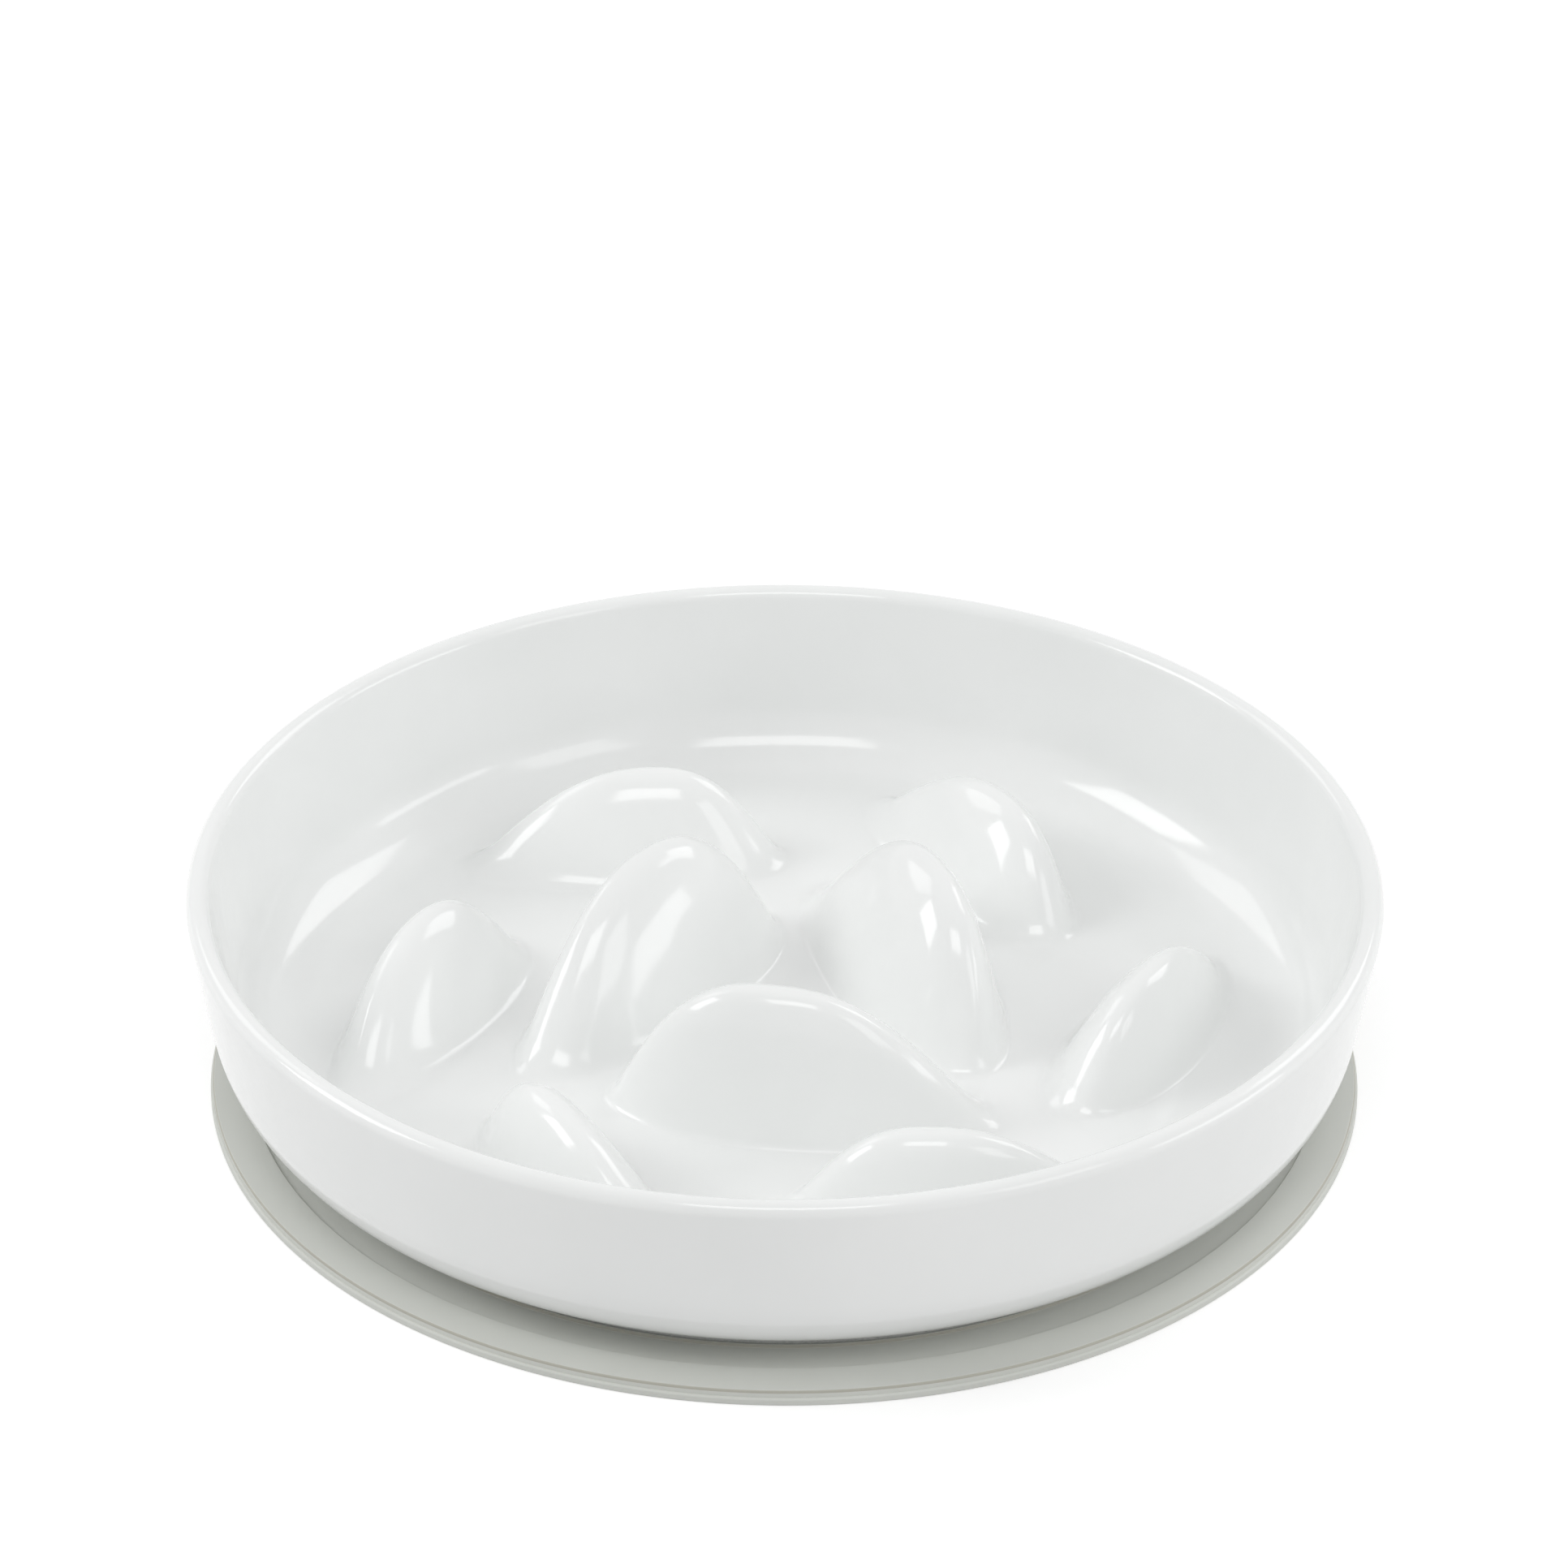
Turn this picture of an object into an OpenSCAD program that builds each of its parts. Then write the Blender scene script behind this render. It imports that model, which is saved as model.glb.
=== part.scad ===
// A slow feeder bowl of glazed ceramic, with nine mounds that swirl, on a ribbed silicone mat.
// Sizes are millimetres. +Z is up, and the mat's underside lies on z = 0.

/* [Bowl wall and floor] */
// outside diameter across the rim
bowl_dia = 216; // [190:1:250]
// height from the foot to the top of the rim
bowl_height = 40; // [36:0.5:60]
// lean of the outer wall from upright, in degrees
wall_lean = 9.5; // [4:0.5:16]
// thickness of the rounded rim
rim_thick = 4.2; // [3:0.1:6]
// thickness of the floor, and of the wall where it turns into the floor
floor_thick = 5; // [4:0.1:7]
// outer radius of the turn from the wall to the floor
turn_radius = 18; // [12:0.5:24]

/* [Foot ring] */
// distance from the bowl's widest edge in to the foot ring
foot_inset = 17; // [13:0.5:22]
// width of the foot ring
foot_width = 5; // [3:0.5:8]
// depth of the space under the floor, inside the foot ring
foot_depth = 2; // [1:0.1:4]
// bevel of the foot ring's edges
foot_bevel = 0.8; // [0.3:0.1:1.4]

/* [Outer mounds] */
// number of mounds in the outer ring
outer_count = 6; // [3:1:8]
// distance from the bowl's widest edge in to a mound's crown
outer_inset = 42.4; // [36:0.1:53]
// place of the first mound round the bowl, in degrees from +X
outer_start = 52.4; // [0:0.1:60]
// swirl of each mound, in degrees: negative turns the tail outwards
outer_twist = -21.3; // [-40:0.5:10]
// height of a mound above the floor
outer_rise = 18.3; // [10:0.1:24]
// radius of the ridge line from the crown to the blunt end
outer_blunt = 20.8; // [18.5:0.1:28]
// radius of the ridge line from the crown to the tail's end
outer_tail = 31; // [20:0.1:38]
// radius of the crest, across the mound
outer_crest = 4.1; // [2:0.1:8]
// slope of the flanks, in degrees from the floor
outer_slope = 60; // [50:0.5:75]

/* [Inner mounds] */
// number of mounds in the inner ring
inner_count = 3; // [2:1:4]
// distance from the bowl's centre to a mound's crown
inner_ring = 29.1; // [24:0.1:36]
// place of the first mound round the bowl, in degrees from +X
inner_start = 27; // [0:0.1:120]
// swirl of each mound, in degrees: negative turns the tail outwards
inner_twist = -4.2; // [-30:0.1:10]
// height of a mound above the floor
inner_rise = 26.8; // [16:0.1:30]
// radius of the ridge line from the crown to the blunt end
inner_blunt = 27.8; // [27.8:0.1:32]
// radius of the ridge line from the crown to the tail's end
inner_tail = 31.3; // [27:0.1:38]
// radius of the crest, across the mound
inner_crest = 5.2; // [3:0.1:8]
// slope of the flanks, in degrees from the floor
inner_slope = 70; // [58:0.5:78]

/* [Hollows under the mounds] */
// thickness of a mound's walls
mound_wall = 4.5; // [3:0.1:6]
// radius of the hollow's crest
hollow_crest = 2; // [1:0.1:3]

/* [Mat] */
// outside diameter of the mat
mat_dia = 210; // [180:1:240]
// thickness of the mat at its raised bands
mat_thick = 2.8; // [2:0.1:4]
// diameter of the raised disc in the middle
disc_dia = 19.8; // [14:0.1:26]
// width of a sunken ring
groove_width = 6.6; // [4:0.1:9]
// depth of a sunken ring
groove_depth = 0.6; // [0.3:0.1:1]
// distance from one sunken ring to the next
groove_pitch = 13.5; // [10:0.1:18]
// least width of the raised band at the edge
edge_band = 7; // [5:0.1:12]
// step of the lower tier past the upper one, at the edge and in the hole
tier_step = 0.5; // [0.2:0.1:1]
// height of the lower tier
tier_height = 1.4; // [0.8:0.1:1.8]

/* [Hanging hole] */
// distance from the mat's centre to the hole
hole_ring = 87.2; // [70:0.1:95]
// place of the hole round the mat, in degrees from +X
hole_place = 176; // [0:1:360]
// diameter of the hole at the top
hole_dia = 13.4; // [8:0.1:16]
// outside diameter of the raised collar
collar_dia = 17.5; // [14:0.1:22]

/* [Hidden] */
$fn = 120;
// extra length by which cuts run past the faces that they cut
overrun = 1;
// depth by which a straight side runs inside the round that it meets, so that the two always cross
tuck = 0.005;
// depth by which a mound is rooted in the floor
root_depth = 1;
// derived sizes of the mounds are kept to this many steps in a millimetre
fine_steps = 1000;
quarter_turn = 90;
half_turn = 180;
full_turn = 360;

// wall and floor of the bowl, in its own heights from the foot's underside
rim_radius = rim_thick / 2;
rim_place = bowl_dia / 2 - rim_radius;
rim_height = bowl_height - rim_radius;
floor_top = foot_depth + floor_thick;
open_top = bowl_height + turn_radius;
inner_radius = turn_radius - floor_thick;
turn_height = foot_depth + turn_radius;
turn_rise = rim_height - turn_height;
// distance across the bowl from the turn's centre to the rim's, so that one straight line meets both
turn_reach = (turn_radius - rim_radius + turn_rise * sin(wall_lean)) / cos(wall_lean);
turn_place = rim_place - turn_reach;

// foot ring
foot_outer = bowl_dia / 2 - foot_inset;
foot_inner = foot_outer - foot_width;
foot_root = foot_depth + floor_thick / 2;

// distance from the bowl's centre to an outer mound's crown
outer_ring = bowl_dia / 2 - outer_inset;

// mat
mat_radius = mat_dia / 2;
disc_radius = disc_dia / 2;
groove_floor = mat_thick - groove_depth;
groove_span = mat_radius - edge_band - groove_width - disc_radius;
groove_count = floor(groove_span / groove_pitch) + 1;
hole_low_dia = hole_dia - 2 * tier_step;

function fine(size) = round(size * fine_steps) / fine_steps;

// how far a hollow's crown lies below the mound's, for walls of one thickness
function crown_drop(crest, slope) =
    fine((mound_wall + hollow_crest - crest) / cos(slope) + crest - hollow_crest);

// length along the floor, from the crown to the end, of a ridge of this radius
function ridge_reach(radius, rise) = sqrt(rise * (2 * radius - rise));

// a wheel with a rounded rim and sloping sides, standing on its edge, turned through an angle about its axle
module wheel(radius, crest, slope, depth, turned) {
    side = crest - tuck;
    shoulder = fine(crest - side * cos(slope));
    low = min(depth, radius);
    crest_half = side * sin(slope);
    low_half = crest_half + (low - shoulder) / tan(slope);
    rotate([0, quarter_turn, 0])
        rotate_extrude(angle = turned) {
            polygon([
                [0, -low_half],
                [radius - low, -low_half],
                [radius - shoulder, -crest_half],
                [radius - shoulder, crest_half],
                [radius - low, low_half],
                [0, low_half]
            ]);
            translate([radius - crest, 0])
                circle(r = crest);
        }
}

// a mound lying along Y with its crown over the origin: blunt end to -Y, tail to +Y
module mound(crown, level, blunt, tail, crest, slope) {
    translate([0, 0, crown - tail])
        wheel(tail, crest, slope, crown - level, half_turn);
    translate([0, 0, crown - blunt])
        mirror([0, 1, 0])
            wheel(blunt, crest, slope, crown - level, half_turn);
}

// the hollow under a mound, midway between the mound's ends
module hollow(crown, level, rise, blunt, tail, crest, slope) {
    top = crown - crown_drop(crest, slope);
    radius = max((blunt + tail) / 2 - crown_drop(crest, slope), top - level);
    middle = (ridge_reach(tail, rise) - ridge_reach(blunt, rise)) / 2;
    translate([0, middle, top - radius])
        wheel(radius, hollow_crest, slope, top - level, full_turn);
}

// the part of a mound or hollow above a level
module above(level, size) {
    intersection() {
        children();
        translate([-size, -size, level])
            cube([2 * size, 2 * size, size]);
    }
}

// copies of one mound round the bowl
module ring_of(count, ring, start, twist) {
    for (i = [0 : count - 1])
        rotate([0, 0, start + i * full_turn / count])
            translate([ring, 0, 0])
                rotate([0, 0, twist])
                    children();
}

module mounds(count, ring, start, twist, rise, blunt, tail, crest, slope) {
    level = floor_top - root_depth;
    ring_of(count, ring, start, twist)
        above(level, bowl_dia)
            mound(floor_top + rise, level, blunt, tail, crest, slope);
}

module hollows(count, ring, start, twist, rise, blunt, tail, crest, slope) {
    level = foot_depth - overrun;
    ring_of(count, ring, start, twist)
        above(level, bowl_dia)
            hollow(floor_top + rise, level, rise, blunt, tail, crest, slope);
}

// cross-section of the wall, floor and foot ring
module bowl_section() {
    turn = [turn_place, turn_height];
    rim = [rim_place, rim_height];
    way = [cos(wall_lean), -sin(wall_lean)];
    rim_inside = rim - (rim_radius - tuck) * way;
    difference() {
        union() {
            polygon([
                [0, foot_depth],
                [turn_place, foot_depth],
                turn,
                turn + turn_radius * way,
                rim + (rim_radius - tuck) * way,
                rim_inside,
                [0, rim_inside[1]]
            ]);
            translate(turn)
                circle(r = turn_radius + tuck);
        }
        polygon([
            [-overrun, floor_top],
            [turn_place, floor_top],
            turn,
            turn + inner_radius * way,
            rim_inside,
            [rim_inside[0], open_top],
            [-overrun, open_top]
        ]);
        translate(turn)
            circle(r = inner_radius + tuck);
    }
    translate(rim)
        circle(r = rim_radius);
    polygon([
        [foot_inner, foot_root],
        [foot_inner, foot_bevel],
        [foot_inner + foot_bevel, 0],
        [foot_outer - foot_bevel, 0],
        [foot_outer, foot_bevel],
        [foot_outer, foot_root]
    ]);
}

module bowl() {
    color([0.95, 0.96, 0.95])
        translate([0, 0, mat_thick])
            difference() {
                union() {
                    rotate_extrude()
                        bowl_section();
                    mounds(outer_count, outer_ring, outer_start, outer_twist, outer_rise,
                           outer_blunt, outer_tail, outer_crest, outer_slope);
                    mounds(inner_count, inner_ring, inner_start, inner_twist, inner_rise,
                           inner_blunt, inner_tail, inner_crest, inner_slope);
                }
                hollows(outer_count, outer_ring, outer_start, outer_twist, outer_rise,
                        outer_blunt, outer_tail, outer_crest, outer_slope);
                hollows(inner_count, inner_ring, inner_start, inner_twist, inner_rise,
                        inner_blunt, inner_tail, inner_crest, inner_slope);
            }
}

module mat() {
    color([0.77, 0.78, 0.75])
        difference() {
            union() {
                difference() {
                    union() {
                        cylinder(r = mat_radius, h = tier_height);
                        cylinder(r = mat_radius - tier_step, h = mat_thick);
                    }
                    for (i = [0 : groove_count - 1])
                        groove(disc_radius + i * groove_pitch);
                }
                at_hole()
                    cylinder(d = collar_dia, h = mat_thick);
            }
            at_hole()
                translate([0, 0, -overrun])
                    cylinder(d = hole_low_dia, h = mat_thick + 2 * overrun);
            at_hole()
                translate([0, 0, tier_height])
                    cylinder(d = hole_dia, h = mat_thick);
        }
}

// one sunken ring, from its inner radius outwards
module groove(inside) {
    translate([0, 0, groove_floor])
        difference() {
            cylinder(r = inside + groove_width, h = mat_thick);
            translate([0, 0, -overrun])
                cylinder(r = inside, h = mat_thick + 2 * overrun);
        }
}

module at_hole() {
    rotate([0, 0, hole_place])
        translate([hole_ring, 0, 0])
            children();
}

bowl();
mat();
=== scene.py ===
import math

import bmesh
import bpy
import numpy as np
from mathutils import Matrix, Vector


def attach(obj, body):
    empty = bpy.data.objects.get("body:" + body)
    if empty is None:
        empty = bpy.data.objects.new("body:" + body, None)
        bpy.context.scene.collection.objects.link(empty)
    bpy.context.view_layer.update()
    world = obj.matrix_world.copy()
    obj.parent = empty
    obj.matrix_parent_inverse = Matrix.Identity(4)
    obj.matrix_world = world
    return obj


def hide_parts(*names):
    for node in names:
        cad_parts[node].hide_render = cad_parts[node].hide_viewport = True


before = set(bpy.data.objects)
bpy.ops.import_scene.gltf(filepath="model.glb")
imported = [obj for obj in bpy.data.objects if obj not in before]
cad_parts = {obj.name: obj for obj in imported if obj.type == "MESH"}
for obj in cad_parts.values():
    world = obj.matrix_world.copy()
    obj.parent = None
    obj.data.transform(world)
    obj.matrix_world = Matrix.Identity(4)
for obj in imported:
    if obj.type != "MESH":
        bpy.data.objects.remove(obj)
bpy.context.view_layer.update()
mm = 0.001  # the dictionaries hold millimetres, the scene is in metres
weld = 0.0005  # vertices closer than this many millimetres are joined


# helpers for meshes: a profile is a chain of vertices in the XZ plane, grown from its last one

def lineTo(bm, vert, x, z, steps=1):
    start = vert.co.copy()
    for step in range(1, steps + 1):
        vert = bmesh.ops.extrude_vert_indiv(bm, verts=[vert])["verts"][0]
        vert.co = start.lerp(Vector((x, 0, z)), step / steps)
    return vert


def arcRound(bm, vert, centre, degrees, steps):  # anticlockwise when positive
    arc = bmesh.ops.spin(bm, geom=[vert], cent=(centre[0], 0, centre[1]), dvec=(0, 0, 0), axis=(0, 1, 0),
                         angle=-math.radians(degrees), steps=steps, use_merge=False, use_duplicate=False)
    return next(item for item in arc["geom_last"] if isinstance(item, bmesh.types.BMVert))


def spinWhole(bm, steps):
    bmesh.ops.spin(bm, geom=bm.verts[:] + bm.edges[:], cent=(0, 0, 0), dvec=(0, 0, 0), axis=(0, 0, 1),
                   angle=math.tau, steps=steps, use_merge=True, use_duplicate=False)
    bmesh.ops.remove_doubles(bm, verts=bm.verts, dist=weld)


def fillFlat(bm, height, up):  # fills between the open loops that lie at one height
    loops = [edge for edge in bm.edges
             if edge.is_boundary and all(abs(vert.co.z - height) < 2 * weld for vert in edge.verts)]
    bmesh.ops.triangle_fill(bm, use_beauty=True, use_dissolve=False, edges=loops, normal=(0, 0, up))


def addPiece(bm, name, material):  # from millimetres to a smooth object in metres
    bmesh.ops.remove_doubles(bm, verts=bm.verts, dist=weld)
    bmesh.ops.recalc_face_normals(bm, faces=bm.faces)
    bmesh.ops.scale(bm, vec=(mm, mm, mm), verts=bm.verts)
    openEdges = sum(1 for edge in bm.edges if not edge.is_manifold)
    for face in bm.faces:
        face.smooth = True
    mesh = bpy.data.meshes.new(name)
    bm.to_mesh(mesh)
    bm.free()
    mesh.materials.append(material)
    piece = bpy.data.objects.new(name, mesh)
    bpy.context.scene.collection.objects.link(piece)
    print(name, "has", len(mesh.polygons), "faces and", openEdges, "open edges")
    return piece


# helpers for materials

def addNode(tree, kind, x, y, **settings):
    node = tree.nodes.new(kind)
    node.location = (x, y)
    for setting, value in settings.items():
        setattr(node, setting, value)
    return node


def newMaterial(name):
    material = bpy.data.materials.new(name)
    material.use_nodes = True
    tree = material.node_tree
    return material, tree, tree.nodes["Principled BSDF"]


def makeMottle():  # noise turned into an even mask, used by every finish
    group = bpy.data.node_groups.new("mottle", "ShaderNodeTree")
    group.interface.new_socket("Place", in_out="INPUT", socket_type="NodeSocketVector")
    for name, value in (("Scale", 50.0), ("Detail", 3.0), ("Low", 0.3), ("High", 0.7)):
        socket = group.interface.new_socket(name, in_out="INPUT", socket_type="NodeSocketFloat")
        socket.default_value = value
    group.interface.new_socket("Mask", in_out="OUTPUT", socket_type="NodeSocketFloat")
    start = addNode(group, "NodeGroupInput", -400, 0)
    noise = addNode(group, "ShaderNodeTexNoise", -200, 0)
    spread = addNode(group, "ShaderNodeMapRange", 0, 0)
    end = addNode(group, "NodeGroupOutput", 200, 0)
    link = group.links.new
    link(start.outputs["Place"], noise.inputs["Vector"])
    link(start.outputs["Scale"], noise.inputs["Scale"])
    link(start.outputs["Detail"], noise.inputs["Detail"])
    link(noise.outputs["Fac"], spread.inputs["Value"])
    link(start.outputs["Low"], spread.inputs["From Min"])
    link(start.outputs["High"], spread.inputs["From Max"])
    link(spread.outputs["Result"], end.inputs["Mask"])
    return group


mottle = makeMottle()


def addMottle(tree, x, y, place, values):  # values are its scale, detail, low and high
    node = addNode(tree, "ShaderNodeGroup", x, y, node_tree=mottle)
    for name, value in zip(("Scale", "Detail", "Low", "High"), values):
        node.inputs[name].default_value = value
    tree.links.new(place, node.inputs["Place"])
    return node.outputs["Mask"]


def addMix(tree, x, y, mask, first, second):  # colours are given as tuples or sockets
    node = addNode(tree, "ShaderNodeMix", x, y, data_type="RGBA")
    tree.links.new(mask, node.inputs["Factor"])
    for name, value in (("A", first), ("B", second)):
        socket = next(s for s in node.inputs if s.name == name and s.type == "RGBA")
        if isinstance(value, tuple):
            socket.default_value = (*value, 1)
        else:
            tree.links.new(value, socket)
    return next(s for s in node.outputs if s.type == "RGBA")


def addBump(tree, x, y, height, values, under=None):  # values are its strength and its depth in millimetres
    node = addNode(tree, "ShaderNodeBump", x, y)
    strength, depth = values
    node.inputs["Strength"].default_value = strength
    node.inputs["Distance"].default_value = depth * mm
    tree.links.new(height, node.inputs["Height"])
    if under:
        tree.links.new(under, node.inputs["Normal"])
    return node.outputs["Normal"]


print("helpers are ready")


# camera: where the photograph was taken from, looking down on the mat with the bowl above it

camera = {
    "place": (-0.000285, -1.107168, 0.721005),
    "lens": 165.06,
    "sensor": 36,
    "farthest": 50,
    "down": 30.787,    # degrees below level
    "tilt": 0.259,
}


def makeCamera():
    data = bpy.data.cameras.new("camera")
    data.sensor_width = camera["sensor"]
    data.lens = camera["lens"]
    data.clip_end = camera["farthest"]
    eye = bpy.data.objects.new("camera", data)
    eye.matrix_world = (Matrix.Translation(camera["place"])
                        @ Matrix.Rotation(math.radians(90 - camera["down"]), 4, "X")
                        @ Matrix.Rotation(math.radians(camera["tilt"]), 4, "Z"))
    bpy.context.scene.collection.objects.link(eye)
    bpy.context.scene.camera = eye


makeCamera()
print("the camera is placed")


# glazed ceramic bowl

bowl = {
    "seat": 2.8,            # the foot's underside lies on the mat at this height
    "rim": (105.895, 37.898),   # centre of the rounded rim: across, up
    "rimRound": 2.1,
    "lean": 9.5,            # degrees from upright
    "turn": (86.783, 20.0),  # centre of the turn from the wall to the floor
    "turnOuter": 18.0,
    "turnInner": 13.0,
    "floor": 7.0,
    "under": 2.0,
    "foot": (86.0, 91.0),
    "footRound": 0.8,
    "footFillet": 1.0,
    "flatEdge": 0.3,        # width of the flat kept inside the turn
    "segments": 400,
    "footSteps": 5,
    "turnSteps": 18,
    "wallSteps": 6,
    "rimSteps": 16,
    "glazeFoot": 1.6,       # the foot is bare clay up to here
    "glazeWander": 0.25,    # the edge of the glaze rises and falls by this
    "glazeEdge": 0.22,      # and thins out over this
    "glaze": (0.900, 0.910, 0.904),
    "glazeDeep": (0.872, 0.884, 0.877),
    "clay": (0.50, 0.505, 0.50),
    "clayDark": (0.38, 0.385, 0.38),
    "gloss": 0.12,
    "clayRough": 0.85,
    "refraction": 1.52,
    # mottles: scale, detail, low and high
    "cloud": (26, 3, 0.35, 0.7),
    "peel": (330, 2, 0.2, 0.8),
    "grit": (1800, 4, 0.3, 0.7),
    "wander": (160, 2, 0.2, 0.8),
    "peelBump": (0.06, 0.2),
    "straightBelow": 0.2,   # the part of a mound's height below which its sides run straight
    "bendAt": 20.0,         # distance from the crown at which a mound is bent by its full bend
    "patchEdge": 1.02,      # the flat ring round a mound, as a part of its reach
    # each mound is a bell that lies along its ring; the groups of four are for its outside, its inside,
    # its blunt end and its tail: how far it reaches, how full it is, and how far it flares at the foot
    "outerMounds": {
        "count": 6, "ring": 65.6, "start": 52.2, "twist": -21.2, "level": 7.0, "rise": 17.9,
        "reach": (9.6, 13.7, 24.4, 35.4), "full": (2.30, 2.12, 2.6, 2.36),
        "flare": (1.28, 1.44, 1.26, 1.38),
        "bend": -1.18, "lean": 0.05, "fillet": 3.5, "rays": 132, "rings": 38,
    },
    "innerMounds": {
        "count": 3, "ring": 30.3, "start": 26.1, "twist": -5.0, "level": 7.0, "rise": 27.0,
        "reach": (10.4, 17.2, 29.9, 39.8), "full": (2.32, 2.04, 2.69, 2.38),
        "flare": (1.25, 1.05, 1.04, 1.38),
        "bend": -1.06, "lean": 0.0, "fillet": 4.0, "rays": 144, "rings": 44,
    },
    # the hollows under them, seen from below
    "outerHollows": {
        "count": 6, "ring": 65.6, "start": 52.2, "twist": -21.2, "level": 2.0, "rise": 16.4,
        "reach": (5.4, 10.0, 19.5, 26.5), "full": (2.3, 2.1, 2.4, 2.3),
        "flare": (1.25, 1.4, 1.25, 1.35),
        "bend": -1.18, "lean": 0.05, "fillet": 2.0, "rays": 72, "rings": 16,
    },
    "innerHollows": {
        "count": 3, "ring": 30.3, "start": 26.1, "twist": -5.0, "level": 2.0, "rise": 24.8,
        "reach": (6.3, 13.4, 26.0, 32.0), "full": (2.3, 2.04, 2.6, 2.38),
        "flare": (1.2, 1.05, 1.05, 1.35),
        "bend": -1.06, "lean": 0.0, "fillet": 2.0, "rays": 72, "rings": 18,
    },
}


def drawWall(bm, s):
    lean = math.radians(s["lean"])
    across, drop = math.cos(lean), -math.sin(lean)
    turnX, turnZ = s["turn"]
    rimX, rimZ = s["rim"]
    inside, outside = s["foot"]
    soft, fillet, edge = s["footRound"], s["footFillet"], s["flatEdge"]
    footSteps = s["footSteps"]
    vert = bm.verts.new((inside - 2 * fillet, 0, s["under"]))
    vert = lineTo(bm, vert, inside - fillet, s["under"])
    vert = arcRound(bm, vert, (inside - fillet, s["under"] - fillet), -90, footSteps)
    vert = lineTo(bm, vert, inside, soft)
    vert = arcRound(bm, vert, (inside + soft, soft), 90, footSteps)
    vert = lineTo(bm, vert, outside - soft, 0, 3)
    vert = arcRound(bm, vert, (outside - soft, soft), 90, footSteps)
    # the fillet that touches both the foot and the turn above it
    reach = outside + fillet - turnX
    filletZ = turnZ - math.sqrt((s["turnOuter"] + fillet) ** 2 - reach ** 2)
    swing = math.degrees(math.atan2(turnZ - filletZ, reach))
    vert = lineTo(bm, vert, outside, filletZ)
    vert = arcRound(bm, vert, (outside + fillet, filletZ), -swing, footSteps)
    vert = arcRound(bm, vert, s["turn"], swing - s["lean"], s["turnSteps"])
    vert = lineTo(bm, vert, rimX + s["rimRound"] * across, rimZ + s["rimRound"] * drop, s["wallSteps"])
    vert = arcRound(bm, vert, s["rim"], 180, s["rimSteps"])
    vert = lineTo(bm, vert, turnX + s["turnInner"] * across, turnZ + s["turnInner"] * drop, s["wallSteps"])
    vert = arcRound(bm, vert, s["turn"], s["lean"] - 90, s["rimSteps"])
    lineTo(bm, vert, turnX - edge, s["floor"])


def drawMounds(bm, s):
    # a disc of rays and rings is laid over the bell, out to the edge of its fillet, and spun round the bowl
    patch = bmesh.new()
    vert = patch.verts.new((0, 0, 0))
    lineTo(patch, vert, s["rings"], 0, s["rings"])
    spinWhole(patch, s["rays"])
    places = np.array([vert.co for vert in patch.verts])
    angles, ray = np.unique(np.round(np.arctan2(places[:, 1], places[:, 0]), 4), return_inverse=True)
    turned = np.sin(angles) ** 2
    reachAcross, full, flare = (np.where(np.cos(angles) > 0, s[key][0], s[key][1])
                                for key in ("reach", "full", "flare"))
    reachAlong, fullEnd, flareEnd = (np.where(np.sin(angles) > 0, s[key][3], s[key][2])
                                     for key in ("reach", "full", "flare"))
    full = full + (fullEnd - full) * turned
    flare = flare + (flareEnd - flare) * turned
    # low on its side the bell runs straight on, past the floor, and a fillet joins the two
    low, fillet = bowl["straightBelow"], s["fillet"]
    steep = flare * low ** (flare - 1)
    edge = (1 + (fillet / s["rise"] + low ** flare) / steep - low) ** (1 / full)

    def moundPoints(share, ray):
        size = share * edge[ray]
        left = 1 - size ** full[ray]
        bell = np.where(left > low, np.maximum(left, low) ** flare[ray],
                        low ** flare[ray] + steep[ray] * (left - low)) * s["rise"]
        height = np.maximum(bell, 0) + np.maximum(fillet - np.abs(bell), 0) ** 2 / fillet / 4
        along = reachAlong[ray] * np.sin(angles[ray]) * size
        bent = s["bend"] * (along / bowl["bendAt"]) ** 2 + s["lean"] * height
        across = reachAcross[ray] * np.cos(angles[ray]) * size + bent
        return np.stack((across, along, height + s["level"]), axis=-1)

    # the rings are spaced evenly over the surface along each ray, and one more lies flat on the floor
    fine = np.linspace(0, 1, 200)
    every = np.arange(len(angles))[:, None]
    lengths = np.linalg.norm(np.diff(moundPoints(fine[None, :], every), axis=1), axis=-1)
    run = np.cumsum(lengths, axis=1)
    run = np.insert(run / run[:, -1:], 0, 0, axis=1)
    ring = np.round(np.hypot(places[:, 0], places[:, 1]))
    last = s["rings"] - 1
    share = np.array([np.interp(number / last, run[row], fine) if number <= last else bowl["patchEdge"]
                      for number, row in zip(ring, ray)])
    for vert, point in zip(patch.verts, moundPoints(share, ray)):
        vert.co = point
    place = (Matrix.Rotation(math.radians(s["start"]), 4, "Z") @ Matrix.Translation((s["ring"], 0, 0))
             @ Matrix.Rotation(math.radians(s["twist"]), 4, "Z"))
    bmesh.ops.transform(patch, matrix=place, verts=patch.verts)
    others = s["count"] - 1
    bmesh.ops.spin(patch, geom=patch.verts[:] + patch.edges[:] + patch.faces[:], cent=(0, 0, 0),
                   dvec=(0, 0, 0), axis=(0, 0, 1), angle=math.tau * others / s["count"], steps=others,
                   use_merge=False, use_duplicate=True)
    mesh = bpy.data.meshes.new("patch")
    patch.to_mesh(mesh)
    patch.free()
    bm.from_mesh(mesh)
    bpy.data.meshes.remove(mesh)


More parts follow.
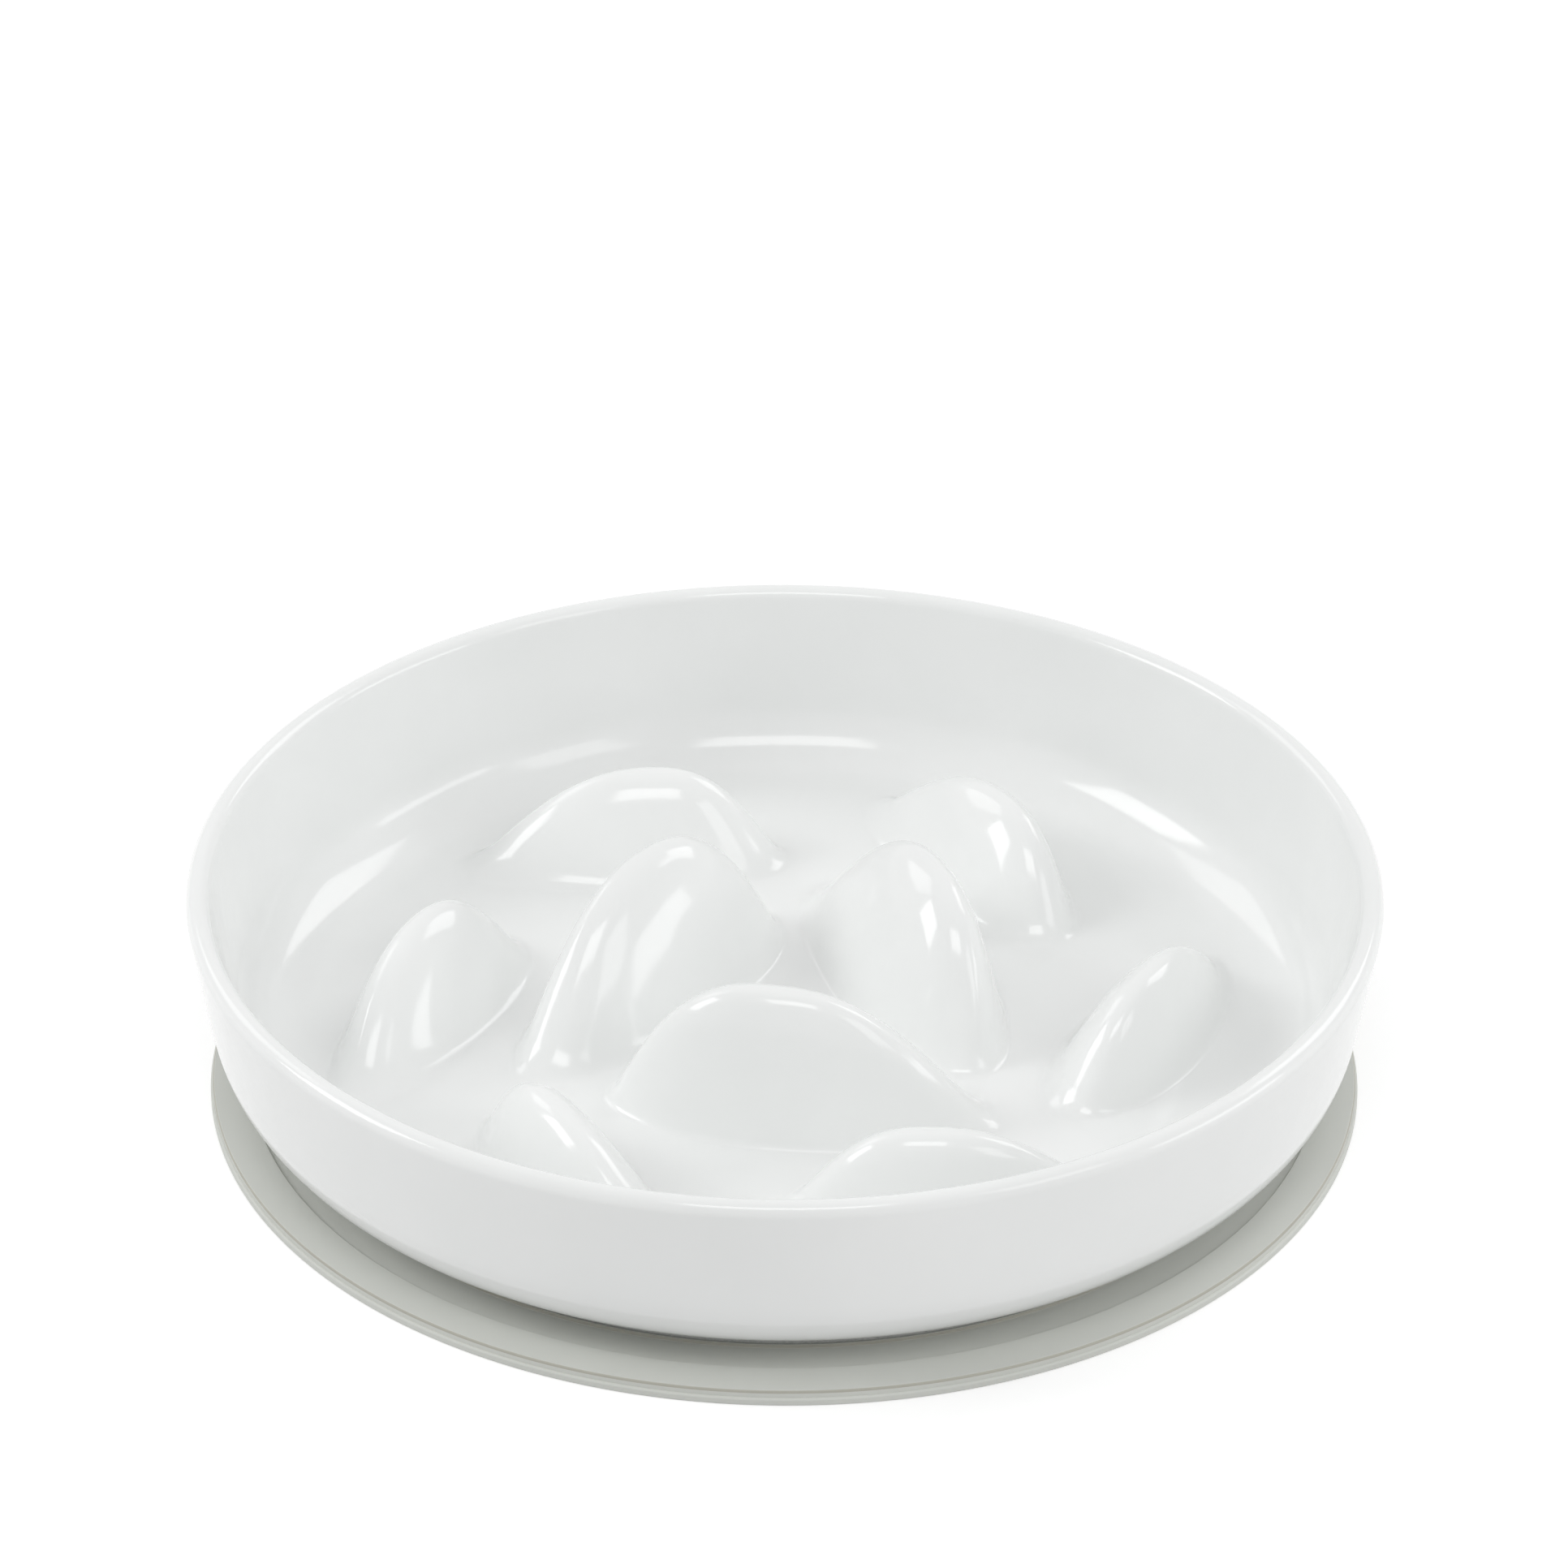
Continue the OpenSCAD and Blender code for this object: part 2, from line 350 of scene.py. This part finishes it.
def makeGlaze(s):
    material, tree, shader = newMaterial("whiteGlaze")
    place = addNode(tree, "ShaderNodeTexCoord", -1400, 0).outputs["Object"]
    parts = addNode(tree, "ShaderNodeSeparateXYZ", -1200, -300)
    tree.links.new(place, parts.inputs["Vector"])
    cloud = addMottle(tree, -1000, 300, place, s["cloud"])
    peel = addMottle(tree, -1000, 100, place, s["peel"])
    grit = addMottle(tree, -1000, -100, place, s["grit"])
    # the edge of the glaze wanders a little round the foot
    wander = addMottle(tree, -1000, -500, place, s["wander"])
    raised = addNode(tree, "ShaderNodeMath", -800, -400, operation="MULTIPLY_ADD")
    tree.links.new(wander, raised.inputs[0])
    raised.inputs[1].default_value = s["glazeWander"] * mm
    tree.links.new(parts.outputs["Z"], raised.inputs[2])
    edge = addNode(tree, "ShaderNodeMapRange", -600, -400, interpolation_type="SMOOTHSTEP")
    tree.links.new(raised.outputs["Value"], edge.inputs["Value"])
    start = s["seat"] + s["glazeFoot"]
    edge.inputs["From Min"].default_value = start * mm
    edge.inputs["From Max"].default_value = (start + s["glazeEdge"]) * mm
    glazed = edge.outputs["Result"]
    glaze = addMix(tree, -600, 300, cloud, s["glazeDeep"], s["glaze"])
    clay = addMix(tree, -600, 0, grit, s["clayDark"], s["clay"])
    tree.links.new(addMix(tree, -300, 200, glazed, clay, glaze), shader.inputs["Base Color"])
    rough = addNode(tree, "ShaderNodeMapRange", -300, -100)
    tree.links.new(glazed, rough.inputs["Value"])
    rough.inputs["To Min"].default_value = s["clayRough"]
    rough.inputs["To Max"].default_value = s["gloss"]
    tree.links.new(rough.outputs["Result"], shader.inputs["Roughness"])
    shader.inputs["IOR"].default_value = s["refraction"]
    tree.links.new(addBump(tree, -300, -300, peel, s["peelBump"]), shader.inputs["Normal"])
    return material


def makeBowl():
    bm = bmesh.new()
    drawWall(bm, bowl)
    spinWhole(bm, bowl["segments"])
    for mounds in ("outerMounds", "innerMounds", "outerHollows", "innerHollows"):
        drawMounds(bm, bowl[mounds])
    fillFlat(bm, bowl["floor"], 1)
    fillFlat(bm, bowl["under"], -1)
    bmesh.ops.translate(bm, vec=(0, 0, bowl["seat"]), verts=bm.verts)
    piece = addPiece(bm, "glazedBowl", makeGlaze(bowl))
    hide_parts("bowl")
    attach(piece, "bowl")


makeBowl()
print("the bowl is made")


# silicone mat

mat = {
    "radius": 105.0,
    "thick": 2.8,
    "disc": 9.9,            # raised disc in the middle
    "grooves": 7,
    "grooveWidth": 6.6,
    "grooveDepth": 0.6,
    "groovePitch": 13.5,
    "tierStep": 0.5,        # the lower tier stands out by this much
    "tierHeight": 1.4,
    "lipRound": 0.42,
    "edgeRound": 0.3,
    "grooveRound": 0.2,
    "segments": 360,
    "bendSteps": 4,
    "hole": (87.2, 176.0),  # distance from the middle, degrees round the mat
    "holeRadius": 6.7,
    "holeSegments": 96,
    "collar": 8.75,
    "overrun": 1.0,         # the hole's cutter stands out by this
    "sharpFrom": 38,        # edges turned by more degrees than this stay sharp
    "rubber": (0.660, 0.672, 0.634),
    "rubberDeep": (0.628, 0.640, 0.602),
    "paintedGrooveShade": (0.74, 0.71, 0.66),  # painted shade: the walls of the grooves are painted darker by this
    "wallMargin": 0.04,     # the painted shade keeps this far from the tops and floors of the walls
    "rough": 0.56,
    "roughSpread": 0.06,
    "refraction": 1.41,
    "cloud": (18, 4, 0.32, 0.68),
    "grain": (2600, 3, 0.25, 0.75),
    "wave": (60, 2, 0.2, 0.8),
    "waveBump": (0.1, 0.2),
    "grainBump": (0.12, 0.03),
}


def drawMat(bm, s):
    outer, upper, top = s["radius"], s["radius"] - s["tierStep"], s["thick"]
    lip, edge, soft = s["lipRound"], s["edgeRound"], s["grooveRound"]
    sunk, steps = top - s["grooveDepth"], s["bendSteps"]
    vert = bm.verts.new((0, 0, 0))
    vert = lineTo(bm, vert, outer - edge, 0)
    vert = arcRound(bm, vert, (outer - edge, edge), 90, steps)
    vert = lineTo(bm, vert, outer, s["tierHeight"] - lip)
    vert = arcRound(bm, vert, (outer - lip, s["tierHeight"] - lip), 90, steps + 1)
    vert = lineTo(bm, vert, upper, s["tierHeight"])
    vert = lineTo(bm, vert, upper, top - edge)
    vert = arcRound(bm, vert, (upper - edge, top - edge), 90, steps)
    for groove in reversed(range(s["grooves"])):
        inside = s["disc"] + groove * s["groovePitch"]
        outside = inside + s["grooveWidth"]
        vert = lineTo(bm, vert, outside + soft, top)
        vert = arcRound(bm, vert, (outside + soft, top - soft), 90, steps)
        vert = lineTo(bm, vert, outside, sunk + soft)
        vert = arcRound(bm, vert, (outside - soft, sunk + soft), -90, steps - 1)
        vert = lineTo(bm, vert, inside + soft, sunk)
        vert = arcRound(bm, vert, (inside + soft, sunk + soft), -90, steps - 1)
        vert = lineTo(bm, vert, inside, top - soft)
        vert = arcRound(bm, vert, (inside - soft, top - soft), 90, steps)
    lineTo(bm, vert, 0, top)


def drawCollar(bm, s):
    soft, top = s["grooveRound"], s["thick"]
    vert = bm.verts.new((0, 0, s["edgeRound"]))
    vert = lineTo(bm, vert, s["collar"], s["edgeRound"])
    vert = lineTo(bm, vert, s["collar"], top - soft)
    vert = arcRound(bm, vert, (s["collar"] - soft, top - soft), 90, s["bendSteps"])
    lineTo(bm, vert, 0, top)


def drawHole(bm, s):
    soft, top, radius = s["grooveRound"], s["thick"], s["holeRadius"]
    low, over, steps = radius - s["tierStep"], s["overrun"], s["bendSteps"]
    vert = bm.verts.new((0, 0, -over))
    vert = lineTo(bm, vert, low, -over)
    vert = lineTo(bm, vert, low, s["tierHeight"] - soft)
    vert = arcRound(bm, vert, (low + soft, s["tierHeight"] - soft), -90, steps)
    vert = lineTo(bm, vert, radius, s["tierHeight"])
    vert = lineTo(bm, vert, radius, top - soft)
    vert = arcRound(bm, vert, (radius + soft, top - soft), -90, steps)
    vert = lineTo(bm, vert, radius + soft, top + over)
    lineTo(bm, vert, 0, top + over)


def makeSilicone(s):
    material, tree, shader = newMaterial("greySilicone")
    place = addNode(tree, "ShaderNodeTexCoord", -1200, 0).outputs["Object"]
    cloud = addMottle(tree, -900, 300, place, s["cloud"])
    grain = addMottle(tree, -900, 0, place, s["grain"])
    wave = addMottle(tree, -900, -200, place, s["wave"])
    face = addMix(tree, -500, 300, cloud, s["rubberDeep"], s["rubber"])
    # painted shade on the walls between the sunken rings and the bands, found by their height
    parts = addNode(tree, "ShaderNodeSeparateXYZ", -900, 600)
    tree.links.new(place, parts.inputs["Vector"])
    top, sunk = s["thick"], s["thick"] - s["grooveDepth"]
    wall = addNode(tree, "ShaderNodeMath", -700, 600, operation="COMPARE")
    tree.links.new(parts.outputs["Z"], wall.inputs[0])
    wall.inputs[1].default_value = (top + sunk) / 2 * mm
    wall.inputs[2].default_value = (s["grooveDepth"] / 2 - s["wallMargin"]) * mm
    # painted shade: the deeper rubber colour, darkened, is put on the walls of the grooves
    paintedShade = tuple(deep * part for deep, part in zip(s["rubberDeep"], s["paintedGrooveShade"]))
    tree.links.new(addMix(tree, -300, 500, wall.outputs["Value"], face, paintedShade), shader.inputs["Base Color"])
    rough = addNode(tree, "ShaderNodeMapRange", -500, 0)
    tree.links.new(grain, rough.inputs["Value"])
    rough.inputs["To Min"].default_value = s["rough"] - s["roughSpread"]
    rough.inputs["To Max"].default_value = s["rough"] + s["roughSpread"]
    tree.links.new(rough.outputs["Result"], shader.inputs["Roughness"])
    shader.inputs["IOR"].default_value = s["refraction"]
    broad = addBump(tree, -500, -400, wave, s["waveBump"])
    tree.links.new(addBump(tree, -300, -300, grain, s["grainBump"], broad), shader.inputs["Normal"])
    return material


def joinSolids(piece, tool, operation):
    modifier = piece.modifiers.new(operation.lower(), "BOOLEAN")
    modifier.operation = operation
    modifier.solver = "MANIFOLD"
    modifier.object = tool
    bpy.context.view_layer.update()
    shaped = bpy.data.meshes.new_from_object(piece.evaluated_get(bpy.context.evaluated_depsgraph_get()))
    piece.modifiers.clear()
    plain, piece.data = piece.data, shaped
    shaped.name = piece.name
    bpy.data.meshes.remove(plain)
    bpy.data.objects.remove(tool)


def makeMat():
    rubber = makeSilicone(mat)
    bm = bmesh.new()
    drawMat(bm, mat)
    spinWhole(bm, mat["segments"])
    piece = addPiece(bm, "siliconeMat", rubber)
    ring, turned = mat["hole"][0], math.radians(mat["hole"][1])
    for draw, name, operation in ((drawCollar, "collar", "UNION"), (drawHole, "hole", "DIFFERENCE")):
        bm = bmesh.new()
        draw(bm, mat)
        spinWhole(bm, mat["holeSegments"])
        bmesh.ops.translate(bm, vec=(ring * math.cos(turned), ring * math.sin(turned), 0), verts=bm.verts)
        joinSolids(piece, addPiece(bm, name, rubber), operation)
    piece.data.set_sharp_from_angle(angle=math.radians(mat["sharpFrom"]))
    flat = piece.modifiers.new("flatBands", "WEIGHTED_NORMAL")
    flat.keep_sharp = True
    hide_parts("mat")
    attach(piece, "mat")


makeMat()
print("the mat is made")


# floor and light

studio = {
    "floorSize": 8.0,
    "floorColour": (0.80, 0.80, 0.80),
    "floorDust": 0.995,     # the floor's specks are darker by this
    "floorRough": 0.9,
    "specks": (40, 3, 0.3, 0.7),
    "floorGlow": 0.34,      # added where the floor is only looked at, so that it lights nothing
    "glowFrom": (0.097, 0.103),  # and not under the mat: it begins between these distances from the middle
    "farGlow": 0.7,         # added farther off, where the lamps no longer reach
    "farFrom": (0.5, 2.0),
    "lampsAim": (0, 0, 0.02),
    "surround": 0.54,       # strength of the light from all round
    "lamps": (              # place, size across and up, watts
        ((-1.3, 0.0, 0.9), (0.7, 0.6), 5.6),
        ((-1.0, 0.9, 1.0), (0.7, 0.7), 2.2),
        ((1.0, 0.9, 1.0), (0.7, 0.7), 3.6),
        ((0.0, -0.9, 1.5), (0.8, 0.5), 4.2),
        ((1.1, -0.9, 1.0), (0.6, 0.7), 2.3),
        ((1.3, -0.2, 0.35), (0.7, 0.4), 2.2),
    ),
}


def addSeenOnly(tree, x, y):  # 1 for rays that show the surroundings, 0 for those that light the object
    rays = addNode(tree, "ShaderNodeLightPath", x, y)
    mirrored = addNode(tree, "ShaderNodeMath", x + 200, y, operation="MAXIMUM")
    tree.links.new(rays.outputs["Is Glossy Ray"], mirrored.inputs[0])
    tree.links.new(rays.outputs["Is Transmission Ray"], mirrored.inputs[1])
    seen = addNode(tree, "ShaderNodeMath", x + 400, y, operation="MAXIMUM")
    tree.links.new(rays.outputs["Is Camera Ray"], seen.inputs[0])
    tree.links.new(mirrored.outputs["Value"], seen.inputs[1])
    return seen.outputs["Value"]


def makeFloor(s):
    material, tree, shader = newMaterial("paleFloor")
    place = addNode(tree, "ShaderNodeTexCoord", -900, 0).outputs["Object"]
    speck = addMottle(tree, -700, 0, place, s["specks"])
    pale = s["floorColour"]
    dusty = tuple(part * s["floorDust"] for part in pale)
    tree.links.new(addMix(tree, -300, 0, speck, dusty, pale), shader.inputs["Base Color"])
    shader.inputs["Roughness"].default_value = s["floorRough"]
    # the floor looks a little brighter, up to white, and still with the shadow on it
    away = addNode(tree, "ShaderNodeVectorMath", -900, -500, operation="LENGTH")
    tree.links.new(place, away.inputs[0])
    both = addNode(tree, "ShaderNodeMath", -400, -600, operation="ADD")
    glows = ((s["glowFrom"], s["floorGlow"]), (s["farFrom"], s["farGlow"]))
    for slot, ((start, end), strength) in enumerate(glows):
        glow = addNode(tree, "ShaderNodeMapRange", -700, -500 - 300 * slot)
        tree.links.new(away.outputs["Value"], glow.inputs["Value"])
        glow.inputs["From Min"].default_value, glow.inputs["From Max"].default_value = start, end
        glow.inputs["To Max"].default_value = strength
        tree.links.new(glow.outputs["Result"], both.inputs[slot])
    shown = addNode(tree, "ShaderNodeMath", -200, -300, operation="MULTIPLY")
    tree.links.new(addSeenOnly(tree, -900, -300), shown.inputs[0])
    tree.links.new(both.outputs["Value"], shown.inputs[1])
    shader.inputs["Emission Color"].default_value = (1, 1, 1, 1)
    tree.links.new(shown.outputs["Value"], shader.inputs["Emission Strength"])
    bm = bmesh.new()
    bmesh.ops.create_grid(bm, x_segments=1, y_segments=1, size=s["floorSize"] / 2)
    mesh = bpy.data.meshes.new("floor")
    bm.to_mesh(mesh)
    bm.free()
    mesh.materials.append(material)
    floor = bpy.data.objects.new("floor", mesh)
    bpy.context.scene.collection.objects.link(floor)


def makeWorld(s):
    world = bpy.data.worlds.new("surround")
    world.use_nodes = True
    tree = world.node_tree
    background = tree.nodes["Background"]
    background.inputs["Color"].default_value = (1, 1, 1, 1)
    strength = addNode(tree, "ShaderNodeMapRange", -300, 0)
    tree.links.new(addSeenOnly(tree, -900, 0), strength.inputs["Value"])
    strength.inputs["To Min"].default_value = s["surround"]
    strength.inputs["To Max"].default_value = 1.0
    tree.links.new(strength.outputs["Result"], background.inputs["Strength"])
    bpy.context.scene.world = world


def makeLamps(s):
    for number, (place, size, watts) in enumerate(s["lamps"]):
        data = bpy.data.lights.new(f"softbox{number}", "AREA")
        data.shape = "RECTANGLE"
        data.size, data.size_y = size
        data.energy = watts
        lamp = bpy.data.objects.new(f"softbox{number}", data)
        lamp.location = place
        towards = Vector(s["lampsAim"]) - Vector(place)
        lamp.rotation_euler = towards.to_track_quat("-Z", "Y").to_euler()
        bpy.context.scene.collection.objects.link(lamp)


makeFloor(studio)
makeWorld(studio)
makeLamps(studio)
view = bpy.context.scene.view_settings
view.view_transform = "Standard"
print("the floor and the light are made")
